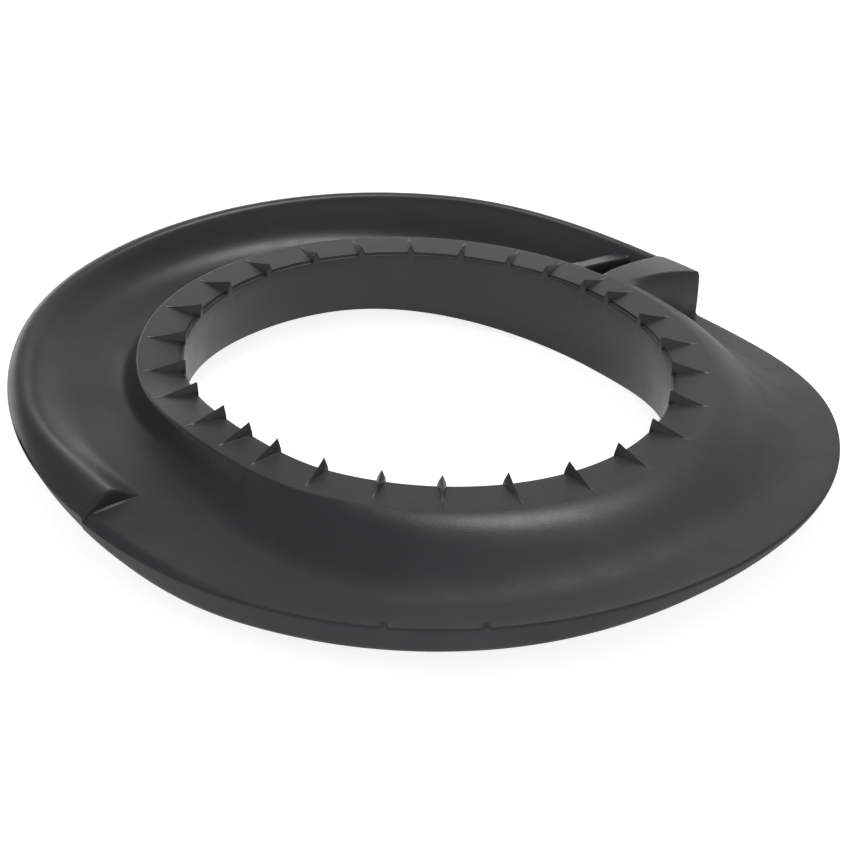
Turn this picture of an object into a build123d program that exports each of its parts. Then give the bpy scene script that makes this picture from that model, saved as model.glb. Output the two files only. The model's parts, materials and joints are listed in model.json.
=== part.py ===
from build123d import *
import math
import os

# Coil spring insulator: one moulded rubber ring.
# Millimetres. Origin on the bore axis, at the lowest point of the underside, +Z up.
# Angles go counter-clockwise from +X, seen from above.

# Plan sizes
bore_radius = 47.0
ledge_width = 9.0
outer_radius = 80.0

# The raised half, with the channel for the wire and a rim round it, runs counter-clockwise from
# the stop to the step. The low half has a plain flange.
stop_angle = 43.5
step_angle = 223.0

# The ledge is level, with a rise at the step.
ledge_height = 17.0
ledge_rise = 1.3
ledge_rise_spread = 28.0

# The underside is level at level_height, dips to zero at the stop and swells at the front right
# and at the left.
level_height = 4.2
back_run_out = 75.0
right_run_out = 50.0
right_swell = 3.0
right_swell_angle = 318.0
right_swell_spread = 62.0
left_swell = 1.5
left_swell_angle = 190.0
left_swell_spread = 55.0

# The seat is the channel's floor and the flange's top. It follows the underside, with a rise at
# the step and a fall at the stop.
seat_thickness = 5.0
step_rise = 1.5
step_rise_spread = 30.0
stop_fall = 1.2
stop_fall_spread = 40.0

# The rim's crest is level, with a hump at the back and a drop at each end.
crest_height = 16.9
crest_hump = 1.2
crest_hump_angle = 102.0
crest_hump_spread = 55.0
stop_drop = 2.2
stop_drop_run_out = 45.0
step_drop = 1.4
step_drop_run_out = 35.0

# Outside the undercut the underside rises to the outer edge: steeply under the rim, so that the
# rim is a curled lip with a low outer side, and less under the right of the flange.
undercut_width = 14.0
rim_side_height = 2.9
rim_lift_start_angle = 65.0
rim_lift_end_angle = 203.0
rim_lift_run_out = 47.0
flange_lift = 4.0
flange_lift_angle = 338.0
flange_lift_spread = 60.0

# Slope from the ledge to the seat. Round the channel it is a steep cove. From the step on it
# spreads into a broad S-curve. A run is how far the curve keeps its direction at that end.
cove_width = 8.0
cove_shoulder_run = 1.4
cove_shoulder_share = 0.75
cove_heel_run = 5.4
flange_width = 6.5
broad_shoulder_run = 7.0
broad_shoulder_drop = 0.6
broad_heel_run = 6.5
slope_spread = 50.0

# Rim: concave wall, narrow land up to the crest, and a fall to the outer edge. Towards the step
# the crest moves inwards and the fall gets less.
rim_width = 3.1
rim_step_shift = 1.6
rim_wall_width = 7.7
rim_heel_run = 4.5
rim_land_width = 1.4
rim_land_rise = 0.9
rim_edge_drop = 3.0
rim_edge_step_drop = 2.0
rim_edge_step_spread = 60.0

# The flange's outer edge is bevelled, most at the step.
bevel_width = 2.2
bevel_drop = 0.15
bevel_step_drop = 1.4
bevel_step_spread = 35.0

# Stop block that closes the channel
block_angle = 8.5
block_shoulder_width = 9.0
block_shoulder_drop = 0.8
block_edge_drop = 4.1

# Web across the channel, which leaves a pocket for the cut end of the wire beside the block
pocket_angle = 5.2
web_angle = 2.4
web_fall = 4.6

# Ribs on the ledge: triangular, highest at the bore, nothing at the ledge's rim.
# Each group is start angle, pitch, count.
rib_height = 2.1
rib_width = 2.4
rib_groups = (
    (288.8, 14.55, 6),
    (14.3, 12.8, 2),
    (40.7, 8.1, 2),
    (60.4, 10.6, 2),
    (83.5, 13.0, 3),
    (122.0, 14.5, 6),
    (206.5, 13.5, 2),
    (229.0, 8.3, 2),
    (249.0, 12.8, 3),
)

# Ribs and web are rooted this deep in the body. The lofts and ribs overrun the bore, which is
# then cut as a true cylinder.
root_depth = 0.3
overrun = 2.0
section_step = 14.0

ledge_radius = bore_radius + ledge_width
slope_foot_radius = outer_radius - flange_width
undercut_radius = outer_radius - undercut_width
block_end_angle = stop_angle + block_angle
rim_lift = crest_height - rim_edge_drop - rim_side_height - level_height


def mix(start, end, share):
    return start + (end - start) * share


def bell(angle, centre, before, after):
    """1 at centre, easing to 0 at before degrees below it and after degrees above it."""
    offset = (angle - centre + 180.0) % 360.0 - 180.0
    share = offset / after if offset > 0 else -offset / before
    return math.cos(math.pi * min(share, 1.0) / 2) ** 2


def ledge(angle):
    return ledge_height + ledge_rise * bell(angle, step_angle, ledge_rise_spread, ledge_rise_spread)


def underside(angle):
    dip = level_height * bell(angle, stop_angle, right_run_out, back_run_out)
    right = right_swell * bell(angle, right_swell_angle, right_swell_spread, right_swell_spread)
    left = left_swell * bell(angle, left_swell_angle, left_swell_spread, left_swell_spread)
    return level_height - dip + right + left


def seat(angle):
    rise = step_rise * bell(angle, step_angle, step_rise_spread, step_rise_spread)
    fall = stop_fall * bell(angle, stop_angle, stop_fall_spread, stop_fall_spread)
    return underside(angle) + seat_thickness + rise - fall


def crest(angle):
    hump = crest_hump * bell(angle, crest_hump_angle, crest_hump_spread, crest_hump_spread)
    at_stop = stop_drop * bell(angle, stop_angle, stop_drop_run_out, stop_drop_run_out)
    at_step = step_drop * bell(angle, step_angle, step_drop_run_out, step_drop_run_out)
    return crest_height + hump - at_stop - at_step


def crest_radius(angle):
    shift = rim_step_shift * bell(angle, step_angle, step_drop_run_out, step_drop_run_out)
    return outer_radius - rim_width - shift


def edge_lift(angle):
    """How far the underside has risen at the outer edge."""
    turned = angle % 360
    share = 1.0
    if turned < rim_lift_start_angle:
        rise = rim_lift_start_angle - stop_angle
        share = bell(turned, rim_lift_start_angle, rise, rise)
    elif turned > rim_lift_end_angle:
        share = bell(turned, rim_lift_end_angle, rim_lift_run_out, rim_lift_run_out)
    flange = bell(turned, flange_lift_angle, flange_lift_spread, flange_lift_spread)
    return rim_lift * share + flange_lift * flange


def slope(angle, spread):
    """Fall from the ledge's rim to the seat: a steep cove at spread 0, a broad S-curve at 1."""
    top = ledge(angle)
    foot = seat(angle)
    foot_radius = mix(ledge_radius + cove_width, slope_foot_radius, spread)
    shoulder_radius = ledge_radius + mix(cove_shoulder_run, broad_shoulder_run, spread)
    shoulder_drop = mix(cove_shoulder_share * (top - foot), broad_shoulder_drop, spread)
    heel_radius = foot_radius - mix(cove_heel_run, broad_heel_run, spread)
    return Bezier(
        (ledge_radius, top),
        (shoulder_radius, top - shoulder_drop),
        (heel_radius, foot),
        (foot_radius, foot),
    )


def closed_section(angle, *surface):
    """Radial section at an angle: ledge, given surface edges, outer side, underside, bore side."""
    inner = bore_radius - overrun
    low = underside(angle)
    lifted = low + edge_lift(angle)
    outline = Wire([
        Line((inner, ledge(angle)), (ledge_radius, ledge(angle))),
        *surface,
        Line(surface[-1] @ 1, (outer_radius, lifted)),
        Line((outer_radius, lifted), (undercut_radius, low)),
        Line((undercut_radius, low), (inner, low)),
        Line((inner, low), (inner, ledge(angle))),
    ])
    return Rot(0, 0, angle) * (Plane.XZ * Face(outline))


def low_section(angle):
    top = seat(angle)
    near_step = bell(angle, step_angle, slope_spread, slope_spread)
    fall = slope(angle, 1.0 - near_step)
    bevel_radius = outer_radius - bevel_width
    drop = mix(bevel_drop, bevel_step_drop, bell(angle, step_angle, bevel_step_spread, bevel_step_spread))
    flange = Line(fall @ 1, (bevel_radius, top))
    bevel = Line((bevel_radius, top), (outer_radius, top - drop))
    return closed_section(angle, fall, flange, bevel)


def raised_section(angle):
    floor = seat(angle)
    top = crest(angle)
    peak = crest_radius(angle)
    wall_top = (peak - rim_land_width, top - rim_land_rise)
    foot = peak - rim_land_width - rim_wall_width
    near_step = bell(angle, step_angle, rim_edge_step_spread, rim_edge_step_spread)
    drop = mix(rim_edge_drop, rim_edge_step_drop, near_step)
    cove = slope(angle, 0.0)
    channel = Line(cove @ 1, (foot, floor))
    wall = Bezier((foot, floor), (foot + rim_heel_run, floor), wall_top)
    land = Line(wall_top, (peak, top))
    fall = Line((peak, top), (outer_radius, top - drop))
    return closed_section(angle, cove, channel, wall, land, fall)


def block_section(angle):
    top = ledge(angle)
    convex_top = Bezier(
        (ledge_radius, top),
        (outer_radius - block_shoulder_width, top - block_shoulder_drop),
        (outer_radius, top - block_edge_drop),
    )
    return closed_section(angle, convex_top)


def angles_between(start, end):
    count = max(2, math.ceil((end - start) / section_step))
    return [start + (end - start) * i / count for i in range(count + 1)]


def swept_ring(section, start, end):
    return loft([section(angle) for angle in angles_between(start, end)])


def web():
    """Thin wall whose top falls from the ledge towards the rim."""
    start = block_end_angle + pocket_angle
    inner = ledge_radius - root_depth
    outer = outer_radius - rim_width
    top = ledge_height - root_depth
    foot = seat(start) - root_depth
    outline = Polyline((inner, foot), (inner, top), (outer, top - web_fall), (outer, foot), close=True)
    return Rot(0, 0, start) * revolve(Plane.XZ * make_face(outline), Axis.Z, web_angle)


def rib(angle):
    """Wedge from the bore, where its end is a triangle, to a point at the ledge's rim."""
    inner = bore_radius - overrun
    height = rib_height * (ledge_radius - inner) / ledge_width
    root = ledge(angle) - root_depth
    triangle = Polyline(
        (-rib_width / 2, root),
        (rib_width / 2, root),
        (0, ledge(angle) + height),
        close=True,
    )
    wedge = loft([Plane.YZ.offset(inner) * make_face(triangle), Vertex(ledge_radius, 0, root)])
    return Rot(0, 0, angle) * wedge


def spring_insulator():
    low_half = swept_ring(low_section, step_angle, stop_angle + 360)
    raised_half = swept_ring(raised_section, stop_angle, step_angle)
    block = swept_ring(block_section, stop_angle, block_end_angle)
    bore = Cylinder(bore_radius, 3 * ledge_height)
    ring = low_half + raised_half + block + web() - bore
    ribs = [rib(start + pitch * i) - bore for start, pitch, count in rib_groups for i in range(count)]
    return ring + ribs


os.makedirs("parts", exist_ok=True)
part = spring_insulator()
export_step(part, "parts/spring_insulator.step")
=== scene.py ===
import json
import math

import bpy
import numpy as np
from mathutils import Matrix, Vector


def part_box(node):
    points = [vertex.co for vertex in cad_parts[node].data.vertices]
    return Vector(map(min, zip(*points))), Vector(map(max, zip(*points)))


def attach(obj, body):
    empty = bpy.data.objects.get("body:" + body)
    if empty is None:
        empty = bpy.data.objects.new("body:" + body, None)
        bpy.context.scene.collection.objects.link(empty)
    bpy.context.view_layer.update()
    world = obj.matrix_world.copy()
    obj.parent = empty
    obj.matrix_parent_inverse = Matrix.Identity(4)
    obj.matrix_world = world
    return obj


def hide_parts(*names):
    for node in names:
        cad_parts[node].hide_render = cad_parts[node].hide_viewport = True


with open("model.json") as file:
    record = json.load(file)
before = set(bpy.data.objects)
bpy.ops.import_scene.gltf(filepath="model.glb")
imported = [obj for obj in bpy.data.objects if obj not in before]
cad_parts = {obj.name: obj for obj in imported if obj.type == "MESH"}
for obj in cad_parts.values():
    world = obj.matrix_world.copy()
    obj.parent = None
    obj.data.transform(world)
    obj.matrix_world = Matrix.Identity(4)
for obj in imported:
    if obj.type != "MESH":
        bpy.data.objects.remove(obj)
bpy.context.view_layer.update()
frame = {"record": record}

# Coil spring insulator: one moulded rubber ring on a white floor.
# The form is written in millimetres, as in the CAD source, and becomes metres in ring_mesh.
# The camera's distance is in millimetres too. The rubber's pattern, the floor and the lamp are
# in metres.
# Angles are in degrees and go counter-clockwise from +X, seen from above.
MM = 0.001
NODE = "spring_insulator"
low_corner, high_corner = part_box(NODE)

# Plan sizes
outer_radius = (high_corner.x - low_corner.x) / 2 / MM
bore_radius = frame["record"]["mounts"][0]["dims"]["r_mm"]
ledge_width = 9.0

# The raised half, with the channel for the wire and a rim round it, runs counter-clockwise from
# the stop to the step. The low half has a plain flange.
stop_angle = 43.5
step_angle = 223.0

# The ledge is level, with a rise at the step.
ledge_height = 17.0
ledge_rise = 1.3
ledge_rise_spread = 28.0

# The underside is level at level_height, dips to zero at the stop and swells at the front right
# and at the left.
level_height = 4.2
back_run_out = 75.0
right_run_out = 50.0
right_swell = 3.0
right_swell_angle = 318.0
right_swell_spread = 62.0
left_swell = 1.5
left_swell_angle = 190.0
left_swell_spread = 55.0

# The seat is the channel's floor and the flange's top. It follows the underside, with a rise at
# the step and a fall at the stop.
seat_thickness = 5.0
step_rise = 1.5
step_rise_spread = 30.0
stop_fall = 1.2
stop_fall_spread = 40.0

# The rim's crest is level, with a hump at the back and a drop at each end.
crest_height = 16.9
crest_hump = 1.2
crest_hump_angle = 102.0
crest_hump_spread = 55.0
stop_drop = 2.9
stop_drop_run_out = 45.0
step_drop = 2.6
step_drop_run_out = 45.0

# Outside the undercut the underside rises to the outer edge, with a soft bend where the rise
# begins: steeply under the rim, and less under the right of the flange.
undercut_width = 14.0
undercut_bend = 0.8
rim_lift = 6.8
rim_lift_start_angle = 65.0
rim_lift_end_angle = 203.0
rim_lift_run_out = 47.0
flange_lift = 4.0
flange_lift_angle = 338.0
flange_lift_spread = 60.0

# Slope from the ledge to the seat. Round the channel it is a steep cove. From the step on it
# spreads into a broad S-curve. A run is how far the curve keeps its direction at that end.
cove_width = 6.2
cove_shoulder_run = 1.2
cove_shoulder_share = 0.8
cove_heel_run = 4.0
flange_width = 6.5
broad_shoulder_run = 7.0
broad_shoulder_drop = 0.6
broad_heel_run = 6.5
slope_spread = 50.0

# Rim: a concave wall that rises from the channel's floor to a rounded crown. Towards the step
# the wall gets narrower and the crest moves inwards. Heel and shoulder are the two pulls of the
# wall's curve. Their shares say how far out they are in its width, and the height shares how far
# up the shoulder is from the seat to the crest.
rim_width = 2.4
rim_step_shift = 2.9
rim_step_shift_spread = 25.0
rim_wall_width = 12.0
rim_step_wall_width = 5.0
rim_heel_share = 0.55
rim_heel_step_share = 0.3
rim_shoulder_share = 0.86
rim_shoulder_step_share = 0.75
rim_shoulder_height_share = 0.36
rim_shoulder_step_height_share = 0.5
step_face_angle = 224.6

# The crown starts crown_half_width inside the crest and crown_depth below it. It goes on in the
# wall's direction, with a pull at most crown_overshoot above the crest. Away from the step it
# meets the outer edge upright. At the step its last pull is crown_step_reach outside the crest,
# so that its outer flank slopes.
crown_half_width = 2.3
crown_depth = 1.5
crown_step_depth = 0.9
crown_overshoot = 1.0
crown_step_reach = 1.6
rim_edge_drop = 3.0
rim_edge_step_drop = 3.4
rim_edge_step_spread = 60.0

# The flange's outer top edge is bent down, most at the step.
bevel_width = 2.2
bevel_drop = 0.15
bevel_step_drop = 1.4
bevel_step_spread = 35.0

# Stop block, and the web across the channel that leaves a pocket beside it
block_angle = 8.0
block_shoulder_width = 9.0
block_shoulder_drop = 0.6
block_edge_drop = 3.5
pocket_angle = 3.7
web_angle = 3.4
web_fall = 4.6

# Ribs on the ledge: highest at the bore, nothing at rib_reach from it. The powers bend their
# flanks and their ridge. Each group is start angle, pitch, count.
rib_height = 2.1
rib_width = 1.75
rib_reach = 7.4
rib_flank_power = 0.85
rib_length_power = 1.25
rib_groups = (
    (288.8, 14.55, 6),
    (14.3, 12.8, 2),
    (40.7, 8.1, 2),
    (60.4, 10.6, 2),
    (83.5, 13.0, 3),
    (122.0, 14.5, 6),
    (206.5, 13.5, 2),
    (229.0, 8.3, 2),
    (249.0, 12.8, 3),
)

# Mould marks: a rebate round the top of the bore, with a leaning side, and two nubs on the
# flange's outer top edge
rebate_width = 0.8
rebate_depth = 0.35
rebate_lean = 0.15
nub_angles = (267.0, 279.0)
nub_height = 0.5
nub_half_angle = 0.55
nub_width = 1.6

# Rounds: the outer side's top and lower edges, which each take at most side_round_share of its
# height, the bore's edges, and the corners of the top surface in a radial section
edge_round = 0.6
foot_round = 1.3
side_round_share = 0.45
bore_round = 0.3
profile_round = 0.35

# Rounds of the walls' top edges, and the fillet at a wall's foot with its share of the wall's
# height. The stop's edge is soft at the ledge and sharp at the outer corner. A wall shapes the
# top within wall_reach degrees of its foot.
stop_round = 3.0
stop_corner_round = 0.6
step_round = 0.7
inner_wall_round = 0.8
wall_fillet = 0.9
wall_fillet_share = 0.07
wall_reach = 5.0

# Columns of the mesh. They are column_step apart, and closer on ribs, nubs and walls. On a rib
# the shares are of its half width, from the ridge: columns inside rib_foot_share have no rebate.
# Within rib_zone of a ridge the columns close in on it as the rib narrows, to rib_tip_share of
# their spacing, and they are back in place rib_relax_width outside the ledge's rim. The other
# shares are of a nub's half angle, of a wall's fillet and of the round of its top edge. Columns
# that agree to angle_digits decimals are one.
column_step = 0.6
angle_digits = 4
rib_shares = (0.0, 0.1, 0.3, 0.6, 0.85, 1.0, 1.15)
rib_foot_share = 0.95
rib_zone = 3.9
rib_tip_share = 0.3
rib_relax_width = 4.0
nub_shares = (-0.75, -0.35, 0.35, 0.75)
fillet_shares = (1.0, 0.6, 0.3, 0.1)
wall_shares = (0.0, 0.01, 0.04, 0.09, 0.16, 0.25, 0.36, 0.49, 0.64, 0.81, 1.0)

# Rows of the mesh across the top: on the ledge, between the insets from bore and rim, then in
# four zones, one round the ledge's rim and one up to each of the zone radii, then up to the
# outer edge's round
ledge_rows = 8
bore_inset = 1.5
rim_inset = 0.6
rim_zone_half_width = 0.35
zone_radii = (64.0, 70.0, 77.8)
zone_rows = (5, 17, 10, 13)
edge_rows = 10

# Rows on the outer side, on the underside's rise and its level part, and on the bore's wall,
# and steps on each small round
side_shares = (1 / 3, 2 / 3)
under_rows = 7
level_radii = (61.0, 55.0, 50.0)
bore_shares = (0.25, 0.5, 0.75)
corner_steps = 5

# Points on each curve of a section, and the step of the radii at which its heights are known
curve_points = 24
dense_step = 0.05

# Edges that turn more than this are shaded sharp.
sharp_angle = 40.0

# Rubber: black in two close tones, with uneven roughness and a fine grain. A noise is scale,
# detail and roughness. A ramp, here and below, is where it starts and ends, and its two values.
rubber_dark = (0.027, 0.0285, 0.0300, 1)
rubber_pale = (0.036, 0.038, 0.040, 1)
tone_noise = (45.0, 5.0, 0.6)
tone_ramp = (0.35, 0.7, 0.0, 1.0)
rough_noise = (160.0, 6.0, 0.65)
rough_ramp = (0.3, 0.7, 0.31, 0.4)
grain_noise = (2600.0, 3.0, 0.6)
grain_strength = 0.12
grain_distance = 0.0002
rubber_specular = 0.38

# The slope and the flange are duller at the front right: by distance from the axis, and by
# distance along a direction.
dull_radius_ramp = (0.060, 0.066, 0.0, 0.16)
dull_direction = (1, -1, 0)
dull_ramp = (0.01, 0.06, 0.0, 1.0)

# White floor. The camera sees it glow, and so do reflections, less towards the back right.
white = (1, 1, 1, 1)
floor_half_size = 3.0
floor_colour = (0.8, 0.8, 0.8, 1)
floor_roughness = 0.9
floor_glow = 0.8
mirrored_direction = (2, 1, 0)
mirrored_ramp = (0.13, 0.27, 0.75, 0.0)

# Studio, by direction: X to the right, Y to the back, Z up, each from -1 to 1. It is brighter
# at the back, up to about 30 degrees, with a bright band low down on the left, and at the front,
# up to about 40 degrees. The camera sees it at full strength.
back_ramp = (0.3, 0.9, 0.0, 1.0)
back_height_ramp = (0.40, 0.57, 1.0, 0.0)
wall_ramp = (0.0, 1.0, 0.37, 0.78)
band_ramp = (-0.05, 0.25, 2.4, 0.1)
band_height_ramp = (0.03, 0.28, 1.0, 0.0)
front_ramp = (-0.7, -0.2, 0.5, 0.0)
front_height_ramp = (0.45, 0.75, 1.0, 0.0)
studio_glow = 1.0

# Lamp, high up at the back
lamp_place = (0.17, 0.36, 0.8)
lamp_aim = (0.03, -0.05, 0.015)
lamp_size = 0.22
lamp_power = 2.3

# Camera, fitted to the photo's outlines. The lens looks at the bore's axis at level_height.
image_size = 850
focal_pixels = 2000.0
sensor_width = 36.0
camera_distance = 392.8
camera_elevation = 29.3
camera_roll = 4.0
aim_pixel = (424.8, 414.5)

ledge_radius = bore_radius + ledge_width
slope_foot_radius = outer_radius - flange_width
undercut_radius = outer_radius - undercut_width
block_end_angle = stop_angle + block_angle
pocket_end_angle = block_end_angle + pocket_angle
web_end_angle = pocket_end_angle + web_angle
rib_half_angle = math.degrees(rib_width / 2 / bore_radius)
rib_angles = sorted(
    (start + pitch * i) % 360 for start, pitch, count in rib_groups for i in range(count)
)

# Each wall is the angle of its foot, the round of its top edge, and 1 where it rises
# counter-clockwise or -1 where it rises clockwise.
walls = (
    (stop_angle, stop_round, 1),
    (block_end_angle, inner_wall_round, -1),
    (pocket_end_angle, inner_wall_round, 1),
    (web_end_angle, inner_wall_round, -1),
    (step_face_angle, step_round, -1),
)

# Radii of the rows, and the dense radii, with the round of the stop's edge at each
ledge_radii = np.linspace(bore_radius + bore_inset, ledge_radius - rim_inset, ledge_rows)
zone_edges = (ledge_radius - rim_zone_half_width, ledge_radius + rim_zone_half_width, *zone_radii)
slope_radii = np.concatenate([
    np.linspace(start, end, rows, endpoint=False)
    for start, end, rows in zip(zone_edges, zone_edges[1:], zone_rows)
])
bend_radii = (undercut_radius + undercut_bend, undercut_radius, undercut_radius - undercut_bend)
dense_radii = np.arange(bore_radius, outer_radius + dense_step / 2, dense_step)
stop_rounds = np.interp(
    dense_radii, (ledge_radius, outer_radius), (stop_round, stop_corner_round))


def mix(start, end, share):
    return start + (end - start) * share


def clamped(share):
    return min(max(share, 0.0), 1.0)


def offset_from(centre, angle):
    """Signed angle from centre to angle, between -180 and 180."""
    return (angle - centre + 180.0) % 360.0 - 180.0


def bell(angle, centre, before, after):
    """1 at centre, easing to 0 at before degrees below it and after degrees above it."""
    offset = offset_from(centre, angle)
    share = offset / after if offset > 0 else -offset / before
    return math.cos(math.pi * min(share, 1.0) / 2) ** 2


def ledge(angle):
    return ledge_height + ledge_rise * bell(angle, step_angle, ledge_rise_spread, ledge_rise_spread)


def underside(angle):
    dip = level_height * bell(angle, stop_angle, right_run_out, back_run_out)
    right = right_swell * bell(angle, right_swell_angle, right_swell_spread, right_swell_spread)
    left = left_swell * bell(angle, left_swell_angle, left_swell_spread, left_swell_spread)
    return level_height - dip + right + left


def seat(angle):
    rise = step_rise * bell(angle, step_angle, step_rise_spread, step_rise_spread)
    fall = stop_fall * bell(angle, stop_angle, stop_fall_spread, stop_fall_spread)
    return underside(angle) + seat_thickness + rise - fall


def crest(angle):
    hump = crest_hump * bell(angle, crest_hump_angle, crest_hump_spread, crest_hump_spread)
    at_stop = stop_drop * bell(angle, stop_angle, stop_drop_run_out, stop_drop_run_out)
    at_step = step_drop * bell(angle, step_angle, step_drop_run_out, step_drop_run_out)
    return crest_height + hump - at_stop - at_step


def crest_radius(angle):
    shift = rim_step_shift * bell(angle, step_angle, rim_step_shift_spread, rim_step_shift_spread)
    return outer_radius - rim_width - shift


def edge_lift(angle):
    """How far the underside has risen at the outer edge."""
    share = 1.0
    if angle < stop_angle:
        share = 0.0
    elif angle < rim_lift_start_angle:
        rise = rim_lift_start_angle - stop_angle
        share = bell(angle, rim_lift_start_angle, rise, rise)
    elif angle > rim_lift_end_angle:
        share = bell(angle, rim_lift_end_angle, rim_lift_run_out, rim_lift_run_out)
    flange = bell(angle, flange_lift_angle, flange_lift_spread, flange_lift_spread)
    return rim_lift * share + flange_lift * flange


def bezier(*points):
    """Rows of (radius, height) along a Bezier curve of any degree."""
    t = np.linspace(0.0, 1.0, curve_points)[:, None]
    rows = [np.array(p, float) * np.ones_like(t) for p in points]
    while len(rows) > 1:
        rows = [mix(a, b, t) for a, b in zip(rows, rows[1:])]
    return rows[0]


def profile(angle, *curves):
    """Heights on dense_radii: the level ledge, then the curves outwards."""
    line = np.concatenate([[(bore_radius, ledge(angle))], *curves])
    return np.interp(dense_radii, line[:, 0], line[:, 1])


def slope(angle, spread):
    """Fall from the ledge's rim to the seat: a steep cove at spread 0, a broad S-curve at 1."""
    top = ledge(angle)
    foot = seat(angle)
    foot_radius = mix(ledge_radius + cove_width, slope_foot_radius, spread)
    shoulder_radius = ledge_radius + mix(cove_shoulder_run, broad_shoulder_run, spread)
    shoulder_drop = mix(cove_shoulder_share * (top - foot), broad_shoulder_drop, spread)
    heel_radius = foot_radius - mix(cove_heel_run, broad_heel_run, spread)
    return bezier(
        (ledge_radius, top),
        (shoulder_radius, top - shoulder_drop),
        (heel_radius, foot),
        (foot_radius, foot),
    )


def low_profile(angle):
    """The slope, the flange with its bent edge, and the nubs."""
    top = seat(angle)
    near_step = bell(angle, step_angle, slope_spread, slope_spread)
    bevel_share = bell(angle, step_angle, bevel_step_spread, bevel_step_spread)
    drop = mix(bevel_drop, bevel_step_drop, bevel_share)
    inner = outer_radius - bevel_width
    bevel = bezier((inner, top), ((inner + outer_radius) / 2, top), (outer_radius, top - drop))
    nub = nub_height * max(
        bell(angle, centre, nub_half_angle, nub_half_angle) for centre in nub_angles)
    across = np.clip((dense_radii - outer_radius + nub_width) / (nub_width / 2), 0.0, 1.0)
    return profile(angle, slope(angle, 1.0 - near_step), bevel) + nub * across


def raised_profile(angle):
    """The cove, the channel's floor, and the rim's wall and crown."""
    bottom = seat(angle)
    top = crest(angle)
    peak = crest_radius(angle)
    near_step = bell(angle, step_angle, step_drop_run_out, step_drop_run_out)
    width = mix(rim_wall_width, rim_step_wall_width, near_step)
    depth = mix(crown_depth, crown_step_depth, near_step)
    foot = peak - crown_half_width - width
    heel = foot + width * mix(rim_heel_share, rim_heel_step_share, near_step)
    height_share = mix(rim_shoulder_height_share, rim_shoulder_step_height_share, near_step)
    before = (
        foot + width * mix(rim_shoulder_share, rim_shoulder_step_share, near_step),
        mix(bottom, top, height_share),
    )
    shoulder = (peak - crown_half_width, top - depth)
    wall = bezier((foot, bottom), (heel, bottom), before, shoulder)
    rise = (shoulder[1] - before[1]) / (shoulder[0] - before[0])
    pull = min(crown_half_width, (depth + crown_overshoot) / rise)
    edge_share = bell(angle, step_angle, rim_edge_step_spread, rim_edge_step_spread)
    edge = (outer_radius, top - mix(rim_edge_drop, rim_edge_step_drop, edge_share))
    reach = mix(outer_radius, peak + crown_step_reach, edge_share)
    onwards = (shoulder[0] + pull, shoulder[1] + pull * rise)
    crown = bezier(shoulder, onwards, (reach, top), edge)
    return profile(angle, slope(angle, 0.0), wall, crown)


def block_profile(angle):
    """The stop block's top, which falls in one curve from the ledge to the outer edge."""
    top = ledge(angle)
    return profile(angle, bezier(
        (ledge_radius, top),
        (outer_radius - block_shoulder_width, top - block_shoulder_drop),
        (outer_radius, top - block_edge_drop),
    ))


def web_profile(angle):
    """The web's top falls from the ledge towards the rim, until the raised form is higher."""
    length = outer_radius - rim_width - ledge_radius
    across = np.clip((dense_radii - ledge_radius) / length, 0.0, 1.0)
    return np.maximum(ledge(angle) - web_fall * across, raised_profile(angle))


def wall_share(angle, foot_angle, top_round, toward):
    """0 before a wall, a small fillet at its foot, then steeply up to 1 with a rounded top edge.

    toward is 1 where the wall rises counter-clockwise and -1 where it rises clockwise.
    """
    ahead = toward * math.radians(angle - foot_angle) * crest_radius(angle)
    if ahead < 0.0:
        return wall_fillet_share * max(1.0 + ahead / wall_fillet, 0.0) ** 2
    share = np.minimum(ahead / top_round, 1.0)
    return mix(wall_fillet_share, 1.0, np.sqrt(1.0 - (1.0 - share) ** 2))


def rise_between(angle, lower, upper, foot_angle, top_round, toward):
    return mix(lower, upper, wall_share(angle, foot_angle, top_round, toward))


def top_profile(angle):
    """The top surface, with the walls of step, stop, pocket and web."""
    if abs(angle - step_face_angle) < wall_reach:
        return rise_between(
            angle, low_profile(angle), raised_profile(angle), step_face_angle, step_round, -1)
    if stop_angle - wall_reach < angle < web_end_angle + wall_reach:
        raised = raised_profile(angle)
        heights = rise_between(
            angle, raised, web_profile(angle), web_end_angle, inner_wall_round, -1)
        heights = rise_between(angle, raised, heights, pocket_end_angle, inner_wall_round, 1)
        heights = rise_between(
            angle, heights, block_profile(angle), block_end_angle, inner_wall_round, -1)
        return rise_between(angle, low_profile(angle), heights, stop_angle, stop_rounds, 1)
    if stop_angle < angle < step_face_angle:
        return raised_profile(angle)
    return low_profile(angle)


def smoothed(heights):
    """The same heights with every corner rounded over profile_round on each side."""
    reach = round(profile_round / dense_step)
    window = np.hanning(2 * reach + 3)[1:-1]
    padded = np.pad(heights, reach, mode="reflect", reflect_type="odd")
    return np.convolve(padded, window / window.sum(), mode="valid")


def nearest_rib(angle):
    """Signed angle from the nearest rib's ridge."""
    return min((offset_from(ridge, angle) for ridge in rib_angles), key=abs)


def rib_share(radius):
    """1 at the bore, 0 at the ribs' outer ends and beyond."""
    return clamped((bore_radius + rib_reach - radius) / rib_reach)


def rib_rise(offset, radius):
    """A rib's height over the ledge at this angle from its ridge."""
    along = rib_share(radius) ** rib_length_power
    across = min(abs(offset) / rib_half_angle, 1.0)
    return rib_height * along * (1.0 - across) ** rib_flank_power


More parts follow.
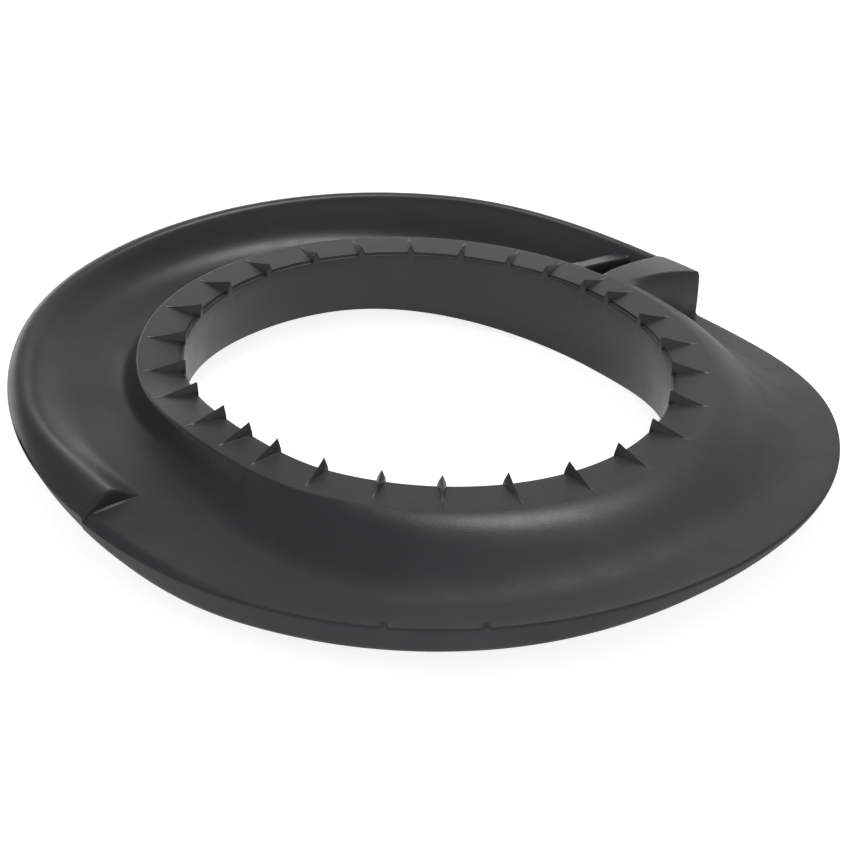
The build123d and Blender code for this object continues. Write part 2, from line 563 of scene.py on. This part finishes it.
def drawn_in(angle, radius):
    """The column's angle at this radius: columns on a rib close in on its ridge as it narrows."""
    offset = nearest_rib(angle)
    if abs(offset) >= rib_zone:
        return angle
    width = max(rib_share(radius), rib_tip_share)
    if abs(offset) <= rib_half_angle:
        moved = abs(offset) * width
    else:
        inside = rib_half_angle * width
        beyond = abs(offset) - rib_half_angle
        moved = inside + beyond * (rib_zone - inside) / (rib_zone - rib_half_angle)
    relax = clamped((radius - ledge_radius) / rib_relax_width)
    moved += (abs(offset) - moved) * relax * relax * (3.0 - 2.0 * relax)
    return angle + math.copysign(moved, offset) - offset


def column_angles():
    """Angles of the mesh's columns: even, and closer on each rib and nub and at each wall."""
    angles = {column_step * i for i in range(round(360 / column_step))}
    cleared = rib_half_angle * rib_shares[-1]
    for ridge in rib_angles:
        angles = {angle for angle in angles if abs(offset_from(ridge, angle)) > cleared}
        for share in rib_shares:
            angles |= {ridge + rib_half_angle * share, ridge - rib_half_angle * share}
    for centre in nub_angles:
        angles |= {centre + nub_half_angle * share for share in nub_shares}
    for foot, top_round, toward in walls:
        per_mm = toward * math.degrees(1.0 / crest_radius(foot))
        angles |= {foot - per_mm * wall_fillet * share for share in fillet_shares}
        angles |= {foot + per_mm * top_round * share for share in wall_shares}
    return sorted({round(angle % 360, angle_digits) for angle in angles})


def arc(centre, radius, start, end):
    """Points on a small round, angles in degrees, 0 outwards and 90 up."""
    turn = np.radians(np.linspace(start, end, corner_steps + 1))
    return [(centre[0] + radius * math.cos(a), centre[1] + radius * math.sin(a)) for a in turn]


def under_height(angle, radius):
    """The underside's height, with a soft bend where its rise to the outer edge begins."""
    ahead = radius - undercut_radius
    if ahead < -undercut_bend:
        climb = 0.0
    elif ahead < undercut_bend:
        climb = (ahead + undercut_bend) ** 2 / (4 * undercut_bend)
    else:
        climb = ahead
    return underside(angle) + edge_lift(angle) * climb / undercut_width


def outer_side(angle, heights):
    """Rounded top edge, side and rounded lower edge, with the radii where they start and end."""
    before, last = np.interp(
        (outer_radius - 2 * edge_round, outer_radius - edge_round), dense_radii, heights)
    fall = math.atan2(before - last, edge_round)
    climb = math.atan2(edge_lift(angle), undercut_width)
    gap = float(heights[-1]) - under_height(angle, outer_radius)
    top_radius = min(edge_round, gap * side_round_share)
    low_radius = min(foot_round, gap * side_round_share)
    start = outer_radius - top_radius * (1 - math.sin(fall))
    top_centre = np.interp(start, dense_radii, heights) - top_radius * math.cos(fall)
    end = outer_radius - low_radius * (1 - math.sin(climb))
    low_centre = under_height(angle, end) + low_radius * math.cos(climb)
    top = arc((outer_radius - top_radius, top_centre), top_radius, 90 - math.degrees(fall), 0)
    low = arc((outer_radius - low_radius, low_centre), low_radius, 0, math.degrees(climb) - 90)
    side = [(outer_radius, mix(top_centre, low_centre, share)) for share in side_shares]
    return start, top + side + low, end


def section(angle):
    """Closed outline of the ring: (radius, height) points over the top, then back below."""
    offset = nearest_rib(angle)
    flat = ledge(angle)
    heights = smoothed(top_profile(angle))
    start, side, end = outer_side(angle, heights)
    on_rib = abs(offset) < rib_half_angle * rib_foot_share
    lip = flat if on_rib else flat - rebate_depth

    def shifted(radius, height):
        """The height with the ledge's rise at the angle to which the point is drawn in."""
        return radius, height + ledge(drawn_in(angle, radius)) - flat

    def ribbed(radius, height):
        return shifted(radius, height + rib_rise(offset, radius))

    at_bore = ribbed(bore_radius + bore_round, lip)
    points = arc((at_bore[0], at_bore[1] - bore_round), bore_round, 180, 90)
    points.append(ribbed(bore_radius + rebate_width, lip))
    points.append(ribbed(bore_radius + rebate_width + rebate_lean, flat))
    points += [ribbed(radius, flat) for radius in ledge_radii]
    edge_radii = np.linspace(zone_edges[-1], start, edge_rows)[:-1]
    radii = np.concatenate([slope_radii, edge_radii])
    on_top = np.interp(radii, dense_radii, heights)
    points += [shifted(radius, height) for radius, height in zip(radii, on_top)]
    points += side
    under = np.linspace(end, bend_radii[0], under_rows)[1:-1]
    for radius in (*under, *bend_radii, *level_radii):
        points.append((radius, under_height(drawn_in(angle, radius), radius)))
    foot = underside(angle) + bore_round
    head = at_bore[1] - bore_round
    points += arc((bore_radius + bore_round, foot), bore_round, -90, -180)
    points += [(bore_radius, mix(foot, head, share)) for share in bore_shares]
    return points


def placed(name, data):
    """A new object in the scene."""
    made = bpy.data.objects.new(name, data)
    bpy.context.scene.collection.objects.link(made)
    return made


def ring_mesh(name, columns):
    """A closed ring of quads through the given columns of points, which are in millimetres."""
    rows = len(columns[0])
    vertices = [(x * MM, y * MM, z * MM) for column in columns for x, y, z in column]
    faces = []
    for i in range(len(columns)):
        a, b = i * rows, (i + 1) % len(columns) * rows
        for j in range(rows):
            k = (j + 1) % rows
            faces.append((a + j, b + j, b + k, a + k))
    mesh = bpy.data.meshes.new(name)
    mesh.from_pydata(vertices, [], faces)
    mesh.validate()
    return mesh


def ring():
    columns = []
    for angle in column_angles():
        column = []
        for radius, height in section(angle):
            turned = math.radians(drawn_in(angle, radius))
            column.append((radius * math.cos(turned), radius * math.sin(turned), height))
        columns.append(column)
    mesh = ring_mesh("insulator_ring", columns)
    mesh.polygons.foreach_set("use_smooth", [True] * len(mesh.polygons))
    mesh.set_sharp_from_angle(angle=math.radians(sharp_angle))
    return placed("insulator_ring", mesh)


def ramp(tree, source, span, interpolation="LINEAR"):
    """The source's value, moved from the span's first two values to its last two."""
    node = tree.nodes.new("ShaderNodeMapRange")
    node.interpolation_type = interpolation
    for socket, value in zip(("From Min", "From Max", "To Min", "To Max"), span):
        node.inputs[socket].default_value = value
    tree.links.new(source, node.inputs["Value"])
    return node.outputs["Result"]


def combined(tree, operation, first, second):
    node = tree.nodes.new("ShaderNodeMath")
    node.operation = operation
    tree.links.new(first, node.inputs[0])
    tree.links.new(second, node.inputs[1])
    return node.outputs["Value"]


def distance_along(tree, source, direction):
    node = tree.nodes.new("ShaderNodeVectorMath")
    node.operation = "DOT_PRODUCT"
    tree.links.new(source, node.inputs[0])
    node.inputs[1].default_value = direction
    return node.outputs["Value"]


def axis_distance(tree, source):
    """Distance from the Z axis."""
    parts = tree.nodes.new("ShaderNodeSeparateXYZ")
    tree.links.new(source, parts.inputs["Vector"])
    plan = tree.nodes.new("ShaderNodeCombineXYZ")
    for axis in ("X", "Y"):
        tree.links.new(parts.outputs[axis], plan.inputs[axis])
    node = tree.nodes.new("ShaderNodeVectorMath")
    node.operation = "LENGTH"
    tree.links.new(plan.outputs["Vector"], node.inputs[0])
    return node.outputs["Value"]


def noise(tree, source, settings):
    node = tree.nodes.new("ShaderNodeTexNoise")
    for socket, value in zip(("Scale", "Detail", "Roughness"), settings):
        node.inputs[socket].default_value = value
    tree.links.new(source, node.inputs["Vector"])
    return node.outputs["Fac"]


def camera_sees(tree, strength, others):
    """A fixed strength for the camera's own rays, and the others' value for all the rest."""
    path = tree.nodes.new("ShaderNodeLightPath")
    node = tree.nodes.new("ShaderNodeMix")
    tree.links.new(path.outputs["Is Camera Ray"], node.inputs["Factor"])
    tree.links.new(others, node.inputs["A"])
    node.inputs["B"].default_value = strength
    return node.outputs["Result"]


def rubber():
    material = bpy.data.materials.new("rubber")
    material.use_nodes = True
    tree = material.node_tree
    shader = tree.nodes["Principled BSDF"]
    where = tree.nodes.new("ShaderNodeTexCoord").outputs["Object"]
    colour = tree.nodes.new("ShaderNodeMix")
    colour.data_type = "RGBA"
    colour.inputs["A"].default_value = rubber_dark
    colour.inputs["B"].default_value = rubber_pale
    tone = ramp(tree, noise(tree, where, tone_noise), tone_ramp)
    tree.links.new(tone, colour.inputs["Factor"])
    tree.links.new(colour.outputs["Result"], shader.inputs["Base Color"])
    outside = ramp(tree, axis_distance(tree, where), dull_radius_ramp)
    front_right = ramp(tree, distance_along(tree, where, dull_direction), dull_ramp)
    duller = combined(tree, "MULTIPLY", outside, front_right)
    roughness = ramp(tree, noise(tree, where, rough_noise), rough_ramp)
    roughness = combined(tree, "ADD", roughness, duller)
    tree.links.new(roughness, shader.inputs["Roughness"])
    grain = tree.nodes.new("ShaderNodeBump")
    grain.inputs["Strength"].default_value = grain_strength
    grain.inputs["Distance"].default_value = grain_distance
    tree.links.new(noise(tree, where, grain_noise), grain.inputs["Height"])
    tree.links.new(grain.outputs["Normal"], shader.inputs["Normal"])
    shader.inputs["Specular IOR Level"].default_value = rubber_specular
    return material


def studio_floor():
    near, far = -floor_half_size, floor_half_size
    mesh = bpy.data.meshes.new("floor")
    corners = [(near, near, 0), (far, near, 0), (far, far, 0), (near, far, 0)]
    mesh.from_pydata(corners, [], [(0, 1, 2, 3)])
    material = bpy.data.materials.new("floor_white")
    material.use_nodes = True
    tree = material.node_tree
    shader = tree.nodes["Principled BSDF"]
    shader.inputs["Base Color"].default_value = floor_colour
    shader.inputs["Roughness"].default_value = floor_roughness
    shader.inputs["Specular IOR Level"].default_value = 0.0
    where = tree.nodes.new("ShaderNodeTexCoord").outputs["Object"]
    fade = ramp(tree, distance_along(tree, where, mirrored_direction), mirrored_ramp)
    path = tree.nodes.new("ShaderNodeLightPath")
    mirrored = combined(tree, "MULTIPLY", path.outputs["Is Glossy Ray"], fade)
    glow = camera_sees(tree, floor_glow, mirrored)
    shader.inputs["Emission Color"].default_value = white
    tree.links.new(glow, shader.inputs["Emission Strength"])
    mesh.materials.append(material)
    made = placed("floor", mesh)


def studio():
    """Surroundings that light the ring. The camera sees them white."""
    surroundings = bpy.data.worlds.new("studio")
    bpy.context.scene.world = surroundings
    surroundings.use_nodes = True
    tree = surroundings.node_tree
    where = tree.nodes.new("ShaderNodeTexCoord").outputs["Generated"]
    parts = tree.nodes.new("ShaderNodeSeparateXYZ")
    tree.links.new(where, parts.inputs["Vector"])

    def soft(axis, span):
        return ramp(tree, parts.outputs[axis], span, "SMOOTHSTEP")

    back = combined(tree, "MULTIPLY", soft("Y", back_ramp), soft("Z", back_height_ramp))
    wall = ramp(tree, back, wall_ramp, "SMOOTHSTEP")
    band = combined(tree, "MULTIPLY", soft("X", band_ramp), soft("Z", band_height_ramp))
    band = combined(tree, "MULTIPLY", band, soft("Y", back_ramp))
    front = combined(tree, "MULTIPLY", soft("Y", front_ramp), soft("Z", front_height_ramp))
    low = combined(tree, "ADD", front, band)
    total = combined(tree, "ADD", wall, low)
    background = tree.nodes["Background"]
    background.inputs["Color"].default_value = white
    strength = camera_sees(tree, studio_glow, total)
    tree.links.new(strength, background.inputs["Strength"])


def lamp():
    data = bpy.data.lights.new("high_back", "AREA")
    data.shape = "RECTANGLE"
    data.size = lamp_size
    data.size_y = lamp_size
    data.energy = lamp_power
    made = placed("high_back", data)
    made.location = lamp_place
    aim = Vector(lamp_aim) - Vector(lamp_place)
    made.rotation_euler = aim.to_track_quat("-Z", "Y").to_euler()
    made.visible_camera = False


def camera():
    tilt, roll = math.radians(camera_elevation), math.radians(camera_roll)
    aim = Vector((0, 0, level_height * MM))
    forward = Vector((0, math.cos(tilt), -math.sin(tilt)))
    up = Vector((0, math.sin(tilt), math.cos(tilt)))
    right = Vector((1, 0, 0))
    turned_right = right * math.cos(roll) + up * math.sin(roll)
    turned_up = up * math.cos(roll) - right * math.sin(roll)
    place = aim - forward * camera_distance * MM
    data = bpy.data.cameras.new("camera")
    data.sensor_width = sensor_width
    data.lens = sensor_width * focal_pixels / image_size
    data.shift_x = (image_size / 2 - aim_pixel[0]) / image_size
    data.shift_y = (aim_pixel[1] - image_size / 2) / image_size
    made = placed("camera", data)
    turn = Matrix((turned_right, turned_up, -forward)).transposed().to_4x4()
    made.matrix_world = Matrix.Translation(place) @ turn
    bpy.context.scene.camera = made


insulator = ring()
insulator.data.materials.append(rubber())
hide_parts(NODE)
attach(insulator, "root")

studio_floor()
studio()
lamp()
camera()
bpy.context.scene.view_settings.view_transform = "Standard"
